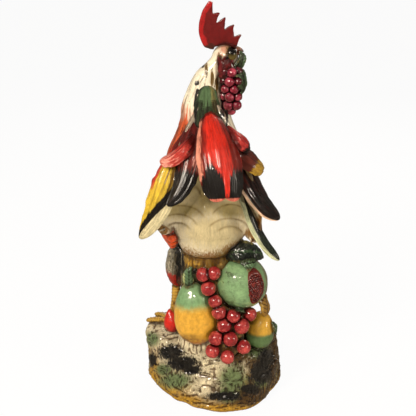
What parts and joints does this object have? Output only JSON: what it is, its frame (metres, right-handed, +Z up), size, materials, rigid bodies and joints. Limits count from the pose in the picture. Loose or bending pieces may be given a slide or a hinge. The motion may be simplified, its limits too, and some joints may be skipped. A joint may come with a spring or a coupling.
{
  "type": "ceramic rooster figure",
  "caption": "Glazed ceramic rooster with a tall comb and fountain tail, standing on a rock mound heaped with pears, grapes and a pomegranate.",
  "frame": {"origin": "middle of the mound's flat foot, on the plane it rests on", "axes": "+Z up, +Y the way the bird's breast faces, -Y the way its tail hangs, +X the bird's right, where its head is turned"},
  "size_m": [0.1784, 0.1908, 0.4825],
  "materials": {
    "rock_glaze": "glossy",
    "cream_glaze": "glossy",
    "red_glaze": "glossy",
    "ochre_glaze": "glossy",
    "eye_glaze": "glossy",
    "grape_glaze": "glossy",
    "leaf_glaze": "glossy",
    "feather_glaze": "glossy",
    "thigh_glaze": "glossy",
    "fruit_glaze": "glossy",
    "red_fruit_glaze": "glossy"
  },
  "bodies": {
    "root": {"beak_leaf": "leaf_glaze", "bunch_berries": "grape_glaze", "bunch_core": "grape_glaze", "bunch_leaf": "leaf_glaze", "bunch_stalk": "leaf_glaze", "cluster_berries": "grape_glaze", "cluster_core": "grape_glaze", "comb": "red_glaze", "crest_feather": "leaf_glaze", "crown_leaf": "leaf_glaze", "head": "cream_glaze", "left_earlobe": "red_glaze", "left_eye": "eye_glaze", "left_inner_feather": "feather_glaze", "left_leg": "ochre_glaze", "left_outer_feather": "feather_glaze", "left_spur": "ochre_glaze", "left_thigh": "thigh_glaze", "left_toes": "ochre_glaze", "left_upper_feather": "feather_glaze", "left_wattle": "red_glaze", "left_wing": "feather_glaze", "lower_beak": "ochre_glaze", "middle_feather": "feather_glaze", "mound": "rock_glaze", "neck": "cream_glaze", "pear": "fruit_glaze", "pear_leaf": "leaf_glaze", "pear_stem": "leaf_glaze", "plum": "red_fruit_glaze", "pomegranate": "fruit_glaze", "pomegranate_crown": "fruit_glaze", "pomegranate_seeds": "red_fruit_glaze", "right_earlobe": "red_glaze", "right_eye": "eye_glaze", "right_inner_feather": "feather_glaze", "right_leg": "ochre_glaze", "right_outer_feather": "feather_glaze", "right_side_feather": "feather_glaze", "right_spur": "ochre_glaze", "right_thigh": "thigh_glaze", "right_toes": "ochre_glaze", "right_upper_feather": "feather_glaze", "right_wattle": "red_glaze", "right_wing": "feather_glaze", "side_leaf": "ochre_glaze", "small_pear": "fruit_glaze", "small_pear_leaf": "leaf_glaze", "stump": "rock_glaze", "tail_fan": "cream_glaze", "top_leaf": "leaf_glaze", "torso": "cream_glaze", "upper_beak": "ochre_glaze"}
  },
  "joints": []
}
